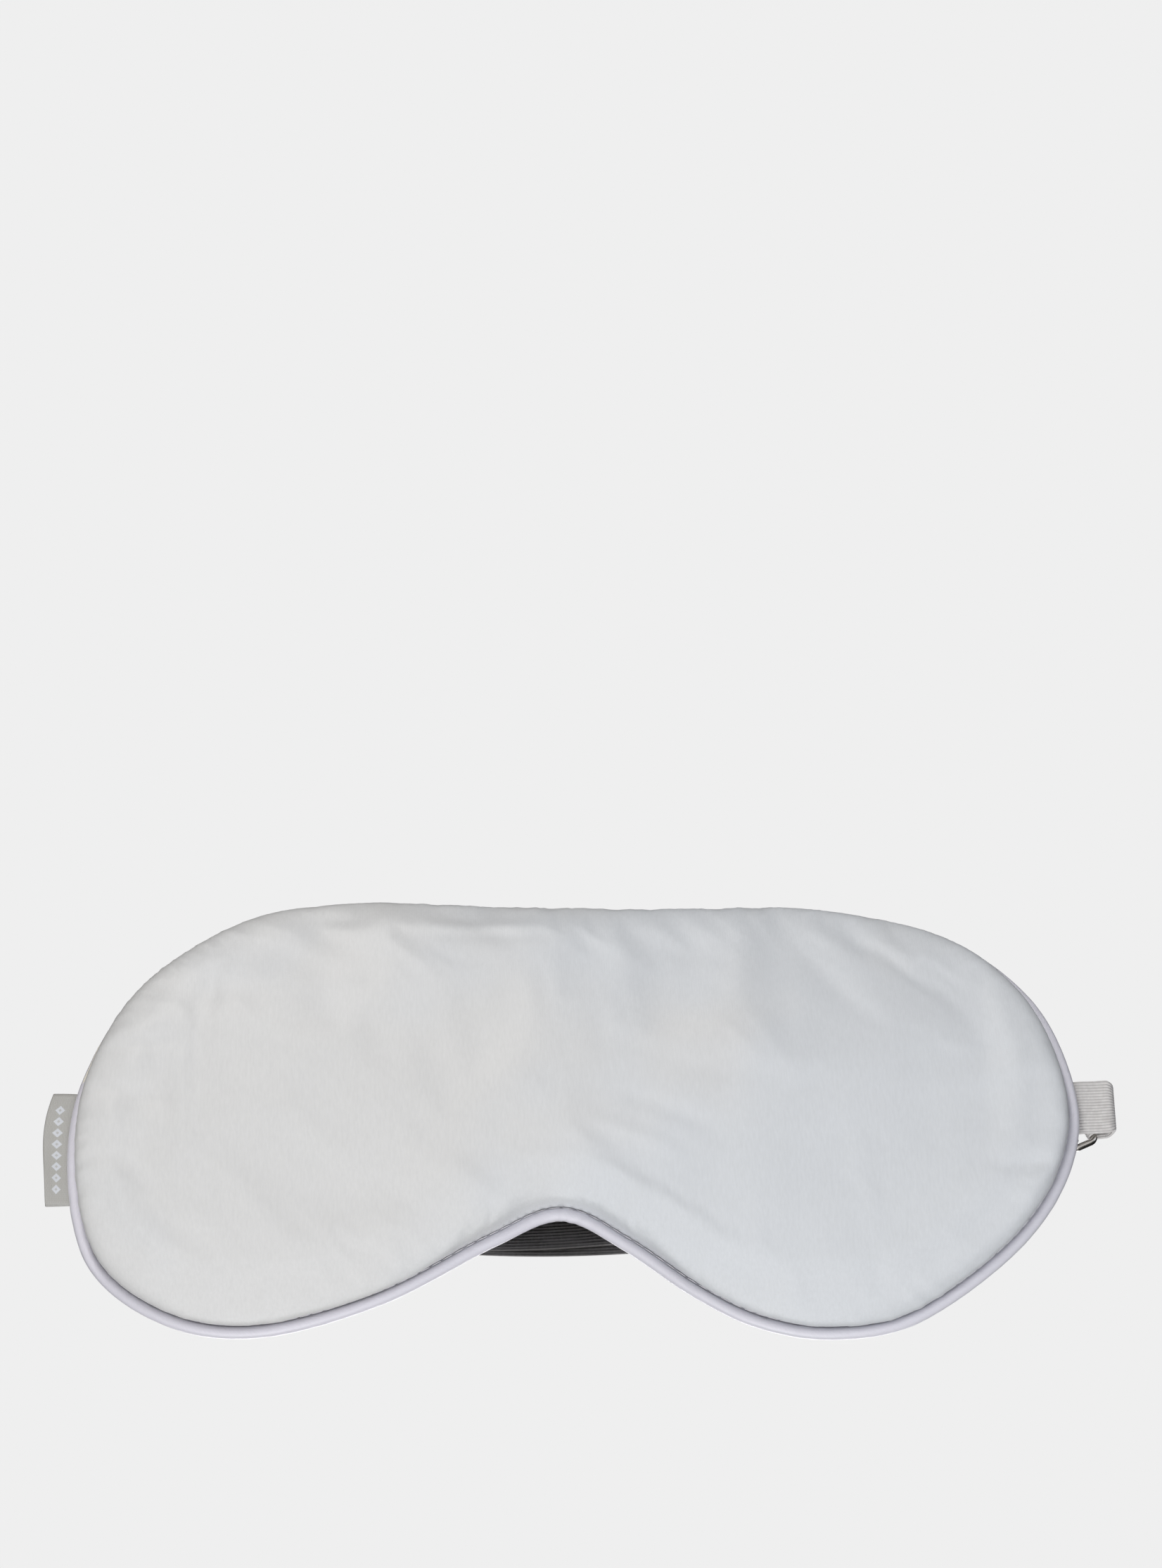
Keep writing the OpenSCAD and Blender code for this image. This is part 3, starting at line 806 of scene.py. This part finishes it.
def bead(start, end, lift, radius, sides=6, rings=6):
    """A short arched thread from start to end: its points and faces."""
    ahead = (end - start) / np.linalg.norm(end - start)
    up = np.array([0, 0, 1.0])
    side = np.cross(ahead, up)
    side /= np.linalg.norm(side)
    points = []
    for i in range(rings):
        t = i / (rings - 1)
        centre = start + (end - start) * t + up * lift * math.sin(math.pi * t)
        r = radius * (0.45 + 0.55 * math.sin(math.pi * min(max(t, 0.08), 0.92)) ** 0.5)
        for j in range(sides):
            a = 2 * math.pi * j / sides
            points.append(centre + r * (math.cos(a) * side + math.sin(a) * up))
    faces = [f[::-1] for f in grid_faces(rings, sides, False, True)]
    faces.append(tuple(range(sides)))
    faces.append(tuple(range((rings - 1) * sides, rings * sides))[::-1])
    return points, faces


def threads(name, beads, body):
    """Many beads of thread as one object."""
    points, faces = [], []
    for start, end, lift in beads:
        p, f = bead(start, end, lift, THREAD_R)
        faces += [tuple(i + len(points) for i in face) for face in f]
        points += p
    piece = new_piece(name, points, faces, thread)
    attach(piece, body)
    return piece


def on_seam(distance, inset, lift):
    """A point near the seam, at a distance along the piping."""
    i = (distance / seam_length * PIPING_POINTS) % PIPING_POINTS
    k = int(i)
    p = fine_line[k] + (fine_line[(k + 1) % PIPING_POINTS] - fine_line[k]) * (i - k) - fine_out[k] * inset
    return np.array([p[0], p[1], seam_z(*p) + lift])


stitch_count = int(seam_length / STITCH_PITCH)
pitch = seam_length / stitch_count
BESIDE, UP, GAP, ARCH = 1.22 * MM, 0.62 * MM, 0.25 * MM, 0.08 * MM
beads = [(on_seam(k * pitch + GAP, BESIDE, UP), on_seam((k + 1) * pitch - GAP, BESIDE, UP), ARCH)
    for k in range(stitch_count)]
threads("seam_stitches", beads, "mask")
print("stitches round the seam:", stitch_count)

# %% [markdown]
# ## Side label
# A damask label is a narrow tape folded in half, with both cut ends caught in the seam. Its fold is the free
# edge. Cloth tape never lies quite flat, so the fold bows outwards and one corner lifts. The woven ornament is a
# row of small diamonds in pale thread. Damask is woven about 3 threads to the millimetre, which gives the grey
# ground its fine tick.

# %% Label cloth
label_cloth, tree, shader = new_material("damask_label_tape", Roughness=0.62, IOR=1.5, Sheen_Weight=0.2)
where = add_node(tree, "TexCoord")
uv = add_node(tree, "SeparateXYZ", {0: where.outputs["UV"]})
MOTIF_PITCH = 2.5 * MM
MOTIF_HALF = 1.15 * MM      # half the height of one diamond
MOTIF_LINE = 4.1 * MM       # from the cut end of the tape to the middle of the row
ROW_MIDDLE, ROW_HALF = 12.5 * MM, 10 * MM
beat = add_node(tree, "Math", {0: uv.outputs["X"], 1: 1 / MOTIF_PITCH}, operation="MULTIPLY")
phase = add_node(tree, "Math", {0: beat}, operation="FRACT")
centred = add_node(tree, "Math", {0: phase, 1: 0.5}, operation="SUBTRACT")
reach_u = add_node(tree, "Math", {0: centred}, operation="ABSOLUTE")
offset_v = add_node(tree, "Math", {0: uv.outputs["Y"], 1: MOTIF_LINE}, operation="SUBTRACT")
reach_v = add_node(tree, "Math", {0: offset_v}, operation="ABSOLUTE")
scaled_v = add_node(tree, "Math", {0: reach_v, 1: 0.42 / MOTIF_HALF}, operation="MULTIPLY")
diamond = add_node(tree, "Math", {0: reach_u, 1: scaled_v}, operation="ADD")
inlay = add_node(tree, "MapRange", {"Value": diamond, "From Min": 0.45, "From Max": 0.37, "To Min": 0.0,
    "To Max": 1.0})
hollow = add_node(tree, "MapRange", {"Value": diamond, "From Min": 0.17, "From Max": 0.10, "To Min": 1.0,
    "To Max": 0.3})
from_middle = add_node(tree, "Math", {0: uv.outputs["X"], 1: ROW_MIDDLE}, operation="SUBTRACT")
far = add_node(tree, "Math", {0: from_middle}, operation="ABSOLUTE")
row = add_node(tree, "Math", {0: far, 1: ROW_HALF}, operation="LESS_THAN")
drawn = add_node(tree, "Math", {0: inlay, 1: hollow}, operation="MULTIPLY")
motif = add_node(tree, "Math", {0: drawn, 1: row}, operation="MULTIPLY")
picks = add_node(tree, "TexBrick", {"Vector": where.outputs["UV"], "Scale": 1 / MM, "Mortar Size": 0.08,
    "Mortar Smooth": 1.0, "Brick Width": 0.9, "Row Height": 0.3, "Color1": (1, 1, 1, 1),
    "Color2": (0.75, 0.75, 0.75, 1), "Mortar": (0, 0, 0, 1)})
ground = add_node(tree, "Mix", {"Factor": picks.outputs["Color"], 6: linear("#a8a7a3"), 7: linear("#b5b4b1")},
    data_type="RGBA")
woven = add_node(tree, "Mix", {"Factor": motif, 6: ground.outputs[2], 7: linear("#d2d5db")}, data_type="RGBA")
tree.links.new(woven.outputs[2], shader.inputs["Base Color"])
relief = add_node(tree, "Math", {0: motif, 1: 0.6, 2: picks.outputs["Color"]}, operation="MULTIPLY_ADD")
raised = add_node(tree, "Bump", {"Height": relief, "Strength": 0.6, "Distance": 0.06 * MM})
tree.links.new(raised.outputs[0], shader.inputs["Normal"])

# %% Label shape
LABEL_LEN = 24.6 * MM
TAPE_T = 0.19 * MM
FOLD_GAP = 0.32 * MM        # half the distance between the two layers
FOLD_DEPTH = 0.55 * MM
label_mid = Vector((-106, -9.2, 4.4)) * MM
LABEL_TILT = math.radians(3.2)
rows = 33
fold_x, sewn_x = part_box("side_label")[0].x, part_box("label_sewn_edge")[1].x
flat_xs = np.linspace(sewn_x, fold_x + FOLD_DEPTH, 15)
round_a = math.pi / 2 + math.pi * np.arange(1, 10) / 10
round_fold = np.column_stack([fold_x + FOLD_DEPTH + 0.42 * MM * np.cos(round_a), FOLD_GAP * np.sin(round_a)])
profile = np.vstack([[(x, FOLD_GAP) for x in flat_xs], round_fold, [(x, -FOLD_GAP) for x in flat_xs[::-1]]])
turn = np.concatenate([[0], np.cumsum(np.linalg.norm(np.diff(profile, axis=0), axis=1))])
points, uvs = [], []
for i in range(rows):
    s = i / (rows - 1)
    y = -LABEL_LEN / 2 + LABEL_LEN * s
    bow = 1.1 * MM * math.sin(math.pi * s) ** 0.8 + 0.35 * MM * math.sin(2 * math.pi * (s + 0.55))
    for (px, pz), v in zip(profile, turn):
        free = np.clip((sewn_x - px) / (sewn_x - fold_x), 0, 1)
        x = px - (bow - 1.35 * MM) * free**1.4
        lift = free**2 * (0.5 * MM * math.sin(math.pi * 1.3 * s + 0.4) + 0.25 * MM * math.sin(math.pi * 3 * s))
        slant = 0.5 * MM * free * (s - 0.5)
        points.append((x, label_mid.y + y * math.cos(LABEL_TILT) + slant,
            label_mid.z + y * math.sin(LABEL_TILT) + pz * (0.75 + 0.5 * free) + lift))
        uvs.append((y + LABEL_LEN / 2 + 0.4 * MM, v))
label_piece = new_piece("folded_side_label", points, grid_faces(rows, len(profile)), label_cloth, uvs)
solid = label_piece.modifiers.new("tape", "SOLIDIFY")
solid.thickness = TAPE_T
solid.offset = 0
apply_modifiers(label_piece)
print("label tape, mm:", round(LABEL_LEN / MM, 1), "by", round(float(turn[-1]) / MM, 1))
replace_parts(label_piece, "side_label", "label_sewn_edge")
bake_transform(label_piece)

# %% [markdown]
# ## Strap
# The strap is one piece of 12 mm elastic. It leaves the left seam, turns back under the mask, runs in a shallow
# bow to the ring on the right, turns round the ring and comes back on top of itself to the slider. It is laid in
# three parts, which meet end to end.

# %% Where the strap goes
BOW = np.array([-8.5, 229.6]) * MM
BOW_R = 255 * MM
SLIDER_A = math.radians(-8.2)
RING_A = math.radians(25)
WIRE_R = 0.7 * MM
BAR_Z = ELASTIC_T + 0.05 * MM + WIRE_R
RETURN_Z = ELASTIC_T * 1.5 + 0.05 * MM
SLIDER_Z = 2 * ELASTIC_T + 0.1 * MM + WIRE_R
LEFT_Y = -15.6 * MM
SEAM_LEFT = np.array([-103.8, 3.1]) * MM
REACH = np.array([8.5, -2.8]) * MM
END_LEFT = SEAM_LEFT + REACH
SEAM_RIGHT = np.array([101, 4.4]) * MM
FOLD_RIGHT = SEAM_RIGHT + REACH


def on_bow(angle, ahead=0.0, up=0.0, inward=0.0):
    """A point on the strap's bow, moved ahead along the strap, up, and inwards towards the forehead."""
    along = np.array([math.cos(angle), math.sin(angle)])
    centre = BOW + BOW_R * np.array([math.sin(angle), -math.cos(angle)])
    inner = np.array([-math.sin(angle), math.cos(angle)])
    return np.array([*(centre + along * ahead + inner * inward), up])


def bow_across(angle):
    """The direction across the strap on its bow."""
    return np.array([-math.sin(angle), math.cos(angle), 0.0])


def arc_turn(centre_ahead, centre_up, radius, first, last, steps=14):
    """Pairs of ahead and up on an arc."""
    turns = np.linspace(math.radians(first), math.radians(last), steps)
    return [(centre_ahead + radius * math.cos(a), centre_up + radius * math.sin(a)) for a in turns]


# %% Left turn of the strap
y = LEFT_Y
half_t = ELASTIC_T / 2
lead_mid = (SEAM_LEFT + END_LEFT) / 2 + np.array([0, 0.05]) * MM
sewn_z = SEAM_LEFT[1] + 0.72 * MM
turn_x = SEAM_LEFT[0] + 0.35 * MM
turn = [(SEAM_LEFT[0] + 2.2 * MM, sewn_z), (SEAM_LEFT[0] + 1.2 * MM, sewn_z)]
turn += arc_turn(turn_x, sewn_z - 0.43 * MM, 0.43 * MM, 100, 250, 9)
turn += [(SEAM_LEFT[0] + 1.4 * MM, SEAM_LEFT[1] - 0.38 * MM), tuple(lead_mid)]
path = refine([(px, y, pz) for px, pz in turn], 0.35 * MM)
left_turn = ribbon("strap_left_turn", path, (0, 1, 0), thick=0.72 * MM)
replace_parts(left_turn, "strap_sewn_end")
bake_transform(left_turn)

# %% The long run, out to the ring and round it
run_angles = np.linspace(SLIDER_A, RING_A - 1.0 * MM / BOW_R, 150)
straight = 50.5 * MM
lead_points = [(lead_mid[0], y, lead_mid[1]), (END_LEFT[0] - 0.6 * MM, y, END_LEFT[1] + 0.3 * MM)]
points = [np.array(p) for p in lead_points]
across = [np.array([0, 1.0, 0])] * 2
for d in np.linspace(straight - 1.2 * MM, 0.6 * MM, 48):
    points.append(on_bow(SLIDER_A, ahead=-d, up=half_t))
    twist = np.clip((straight - d) / (8 * MM), 0, 1)
    across.append((1 - twist) * np.array([0, 1.0, 0]) + twist * bow_across(SLIDER_A))
for a in run_angles:
    points.append(on_bow(a, up=half_t))
    across.append(bow_across(a))
SLACK_R = 1.55 * MM
loop = arc_turn(0, half_t + SLACK_R, SLACK_R, -85, 90)
loop += [(-2 * MM, 2 * SLACK_R + 0.3 * MM), (-5 * MM, RETURN_Z + 0.75 * MM), (-8.8 * MM, RETURN_Z)]
for ahead, up in loop:
    points.append(on_bow(RING_A, ahead=ahead, up=up))
    across.append(bow_across(RING_A))
run_piece = ribbon("strap_long_run", points, across, start_at=9 * MM)
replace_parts(run_piece, "strap_lead", "strap_run", "strap_ring_loop")
keep_in_shade(run_piece)
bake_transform(run_piece)

# %% The doubled end, back to the slider
first = RING_A - 8.8 * MM / BOW_R
last = SLIDER_A + 3.8 * MM / BOW_R
points, across = [], []
for t in np.linspace(0, 1, 140):
    a = first + (last - first) * t
    drift = 2.3 * MM * math.sin(math.pi * t) ** 1.2 + 0.5 * MM * math.sin(2 * math.pi * t)
    lift = 0.6 * MM * math.sin(math.pi * t) ** 2
    points.append(on_bow(a, up=RETURN_Z + lift, inward=drift))
    across.append(bow_across(a))
LOOP_R = WIRE_R + 0.05 * MM + half_t
loop = [(3.0 * MM, RETURN_Z)] + arc_turn(0, SLIDER_Z, LOOP_R, 265, 90)
loop += [(0.9 * MM, SLIDER_Z + LOOP_R - 0.2 * MM), (2.2 * MM, SLIDER_Z - 0.05 * MM),
    (3.0 * MM, SLIDER_Z - 0.25 * MM), (3.9 * MM, SLIDER_Z - 0.28 * MM)]
for ahead, up in loop:
    points.append(on_bow(SLIDER_A, ahead=ahead, up=up))
    across.append(bow_across(SLIDER_A))
return_piece = ribbon("strap_doubled_end", points, across, start_at=230 * MM, thick=0.76 * MM)
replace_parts(return_piece, "strap_return", "strap_end_loop")
keep_in_shade(return_piece)
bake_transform(return_piece)

# %% [markdown]
# ## Right-hand tab
# A short piece of the same elastic is caught in the right seam. It folds round, goes back under the mask and
# holds the ring. The fold is open like a hairpin, and light falls into it from the side.

# %% Tab
FOLD_R = 1.6 * MM
fold_z = FOLD_R + half_t
outer_bar = 5.5 * MM        # from the strap's bar of the ring to the tab's
loop = [(3.5 * MM, RETURN_Z), (2.4 * MM, RETURN_Z + 0.03 * MM), (1.6 * MM, BAR_Z + 0.1 * MM)]
loop += arc_turn(0, BAR_Z, LOOP_R, 75, 268)
points = [on_bow(RING_A, ahead=outer_bar + a, up=u) for a, u in loop]
across = [bow_across(RING_A)] * len(points)
TAB_SLOPE = 0.13
LOWER_BACK = 0.3 * MM


def tab_y(x, z):
    """The tab runs out a little askew, and its lower layer lies a little further back."""
    return TAB_SLOPE * (x - SEAM_RIGHT[0]) + LOWER_BACK * min(1, max(0, 1 - (z - half_t) / (2 * FOLD_R)))


lower_end = FOLD_RIGHT[0] - 0.3 * MM
start, end = points[-1], np.array([lower_end, tab_y(lower_end, half_t), half_t])
for t in np.linspace(0.15, 1, 10):
    points.append(start + (end - start) * t)
    points[-1][2] = half_t
    turned = (1 - t) ** 2.5
    across.append(turned * bow_across(RING_A) + (1 - turned) * np.array([0, 1.0, 0]))
tab_loop = ribbon("tab_ring_loop_elastic", points, across, start_at=400 * MM, thick=0.76 * MM)
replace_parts(tab_loop, "tab_ring_loop")
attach(tab_loop, "strap")

hairpin = [(lower_end, half_t)] + arc_turn(FOLD_RIGHT[0], fold_z, FOLD_R, -88, 88, 15)
hairpin += [(FOLD_RIGHT[0] - 2.5 * MM, 2 * FOLD_R + half_t + 0.32 * MM),
    (SEAM_RIGHT[0] + 3 * MM, SEAM_RIGHT[1] + 0.12 * MM), (SEAM_RIGHT[0] + 0.4 * MM, SEAM_RIGHT[1] + 0.25 * MM)]
path = refine([(px, tab_y(px, pz), pz) for px, pz in hairpin], 0.4 * MM)
round_corners = 1 - 0.15 * np.clip((path[:, 0] - FOLD_RIGHT[0]) / FOLD_R, 0, 1) ** 2
tab_piece = ribbon("tab_hairpin_elastic", path, (0, 1, 0), start_at=412 * MM, narrow=round_corners)
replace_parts(tab_piece, "tab_fold", "tab_top")
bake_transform(tab_piece)

sewn = ribbon("tab_sewn_elastic", [(97.2 * MM + i * 0.65 * MM, 0, SEAM_RIGHT[1] + 0.5 * MM) for i in range(6)],
    (0, 1, 0), start_at=425 * MM)
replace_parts(sewn, "tab_sewn_end")
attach(sewn, "mask")

# %% [markdown]
# ## Ring, slider and bar tacks
# The CAD wire is exact, so the ring and the slider only get their plating. A bar tack is a few long threads with
# a dense zigzag over them, sewn where an elastic end is folded back on itself.

# %% Ring and slider
for node, material in (("ring", wire), ("slider", wire), ("piping_cord", cotton)):
    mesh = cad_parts[node].data
    mesh.materials.clear()
    mesh.materials.append(material)
    if material is wire:
        mesh.polygons.foreach_set("use_smooth", [True] * len(mesh.polygons))
    print(node, "is", material.name)


# %% Bar tacks
def bar_tack(name, node, angle, body):
    """A dense zigzag on the place of a CAD bar tack."""
    steps, length, half_zigzag, arch = 26, 9 * MM, 0.5 * MM, 0.1 * MM
    low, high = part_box(node)
    middle = np.array([(low.x + high.x) / 2, (low.y + high.y) / 2, low.z + 0.05 * MM])
    ahead = np.array([math.cos(angle), math.sin(angle), 0]) * half_zigzag
    side = bow_across(angle) * length
    beads = []
    for k in range(steps):
        a, b = middle + side * (k / steps - 0.5), middle + side * ((k + 1) / steps - 0.5)
        way = ahead if k % 2 == 0 else -ahead
        beads.append((a - way, b + way, arch))
    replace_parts(threads(name, beads, body), node)


bar_tack("ring_bar_tack", "ring_bartack", RING_A, "strap")
bar_tack("slider_bar_tack", "slider_bartack", SLIDER_A, "slider")
